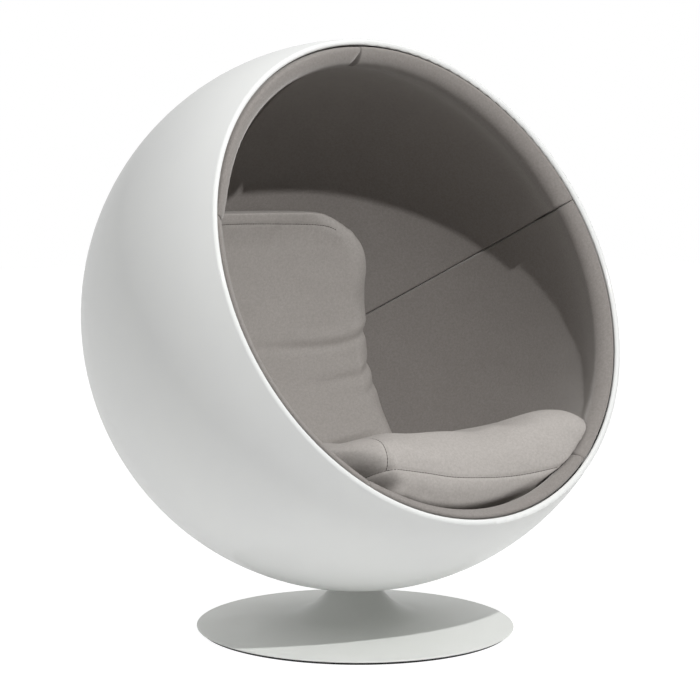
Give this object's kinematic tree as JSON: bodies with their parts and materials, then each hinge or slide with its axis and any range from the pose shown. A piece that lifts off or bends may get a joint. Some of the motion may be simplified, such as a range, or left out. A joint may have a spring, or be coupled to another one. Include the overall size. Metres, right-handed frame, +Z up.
{
  "type": "pod chair",
  "caption": "Ball-shaped lounge chair with a tilted round opening, padded lining, seat and back cushions, swivelling on a trumpet pedestal.",
  "frame": {"origin": "on the floor, on the swivel axis, at the middle of the glide ring's face", "axes": "+Z up, the pod's opening towards -Y at rest, +X to the right of someone who faces the opening"},
  "size_m": [1.0998, 0.9643, 1.1843],
  "materials": {
    "shell_gloss": "polished white gel coat on moulded glass fibre",
    "base_paint": "satin light grey powder coat on spun steel",
    "lining_fabric": "grey-taupe heathered upholstery weave over foam",
    "cushion_fabric": "grey-taupe heathered upholstery weave over foam",
    "ballast_steel": "black painted plate",
    "machined_steel": "turned steel",
    "zinc_steel": "zinc plated fasteners",
    "bearing_plastic": "black acetal",
    "glide_rubber": "black rubber"
  },
  "bodies": {
    "base": {"pedestal_skin": "base_paint", "glide_ring": "glide_rubber", "ballast_plate": "ballast_steel", "plate_studs": "zinc_steel", "plate_nuts": "zinc_steel", "bearing_housing": "machined_steel", "housing_screws": "zinc_steel", "bottom_plug": "bearing_plastic", "upper_bush": "bearing_plastic", "lower_bush": "bearing_plastic", "thrust_washer": "machined_steel"},
    "pod": {"swivel_hub": "machined_steel", "swivel_spindle": "machined_steel", "retaining_washer": "zinc_steel", "retaining_ring": "zinc_steel", "pod_shell": "shell_gloss", "mount_plate": "machined_steel", "bolt_washers": "zinc_steel", "hub_bolts": "zinc_steel", "lining_panel_1": "lining_fabric", "lining_panel_2": "lining_fabric", "lining_panel_3": "lining_fabric", "lining_panel_4": "lining_fabric", "lining_panel_5": "lining_fabric", "seat_cushion": "cushion_fabric"},
    "back_cushion": {"back_cushion": "cushion_fabric"}
  },
  "joints": [
    {"name": "pod_swivel", "type": "hinge", "parent": "base", "child": "pod", "pos_m": [0, 0, 0.075], "axis": [0, 0, 1], "continuous": true},
    {"name": "back_cushion_lift_out", "type": "slide", "parent": "pod", "child": "back_cushion", "axis": [0, -0.9195, 0.3931], "range_m": [0, 0.3]}
  ]
}
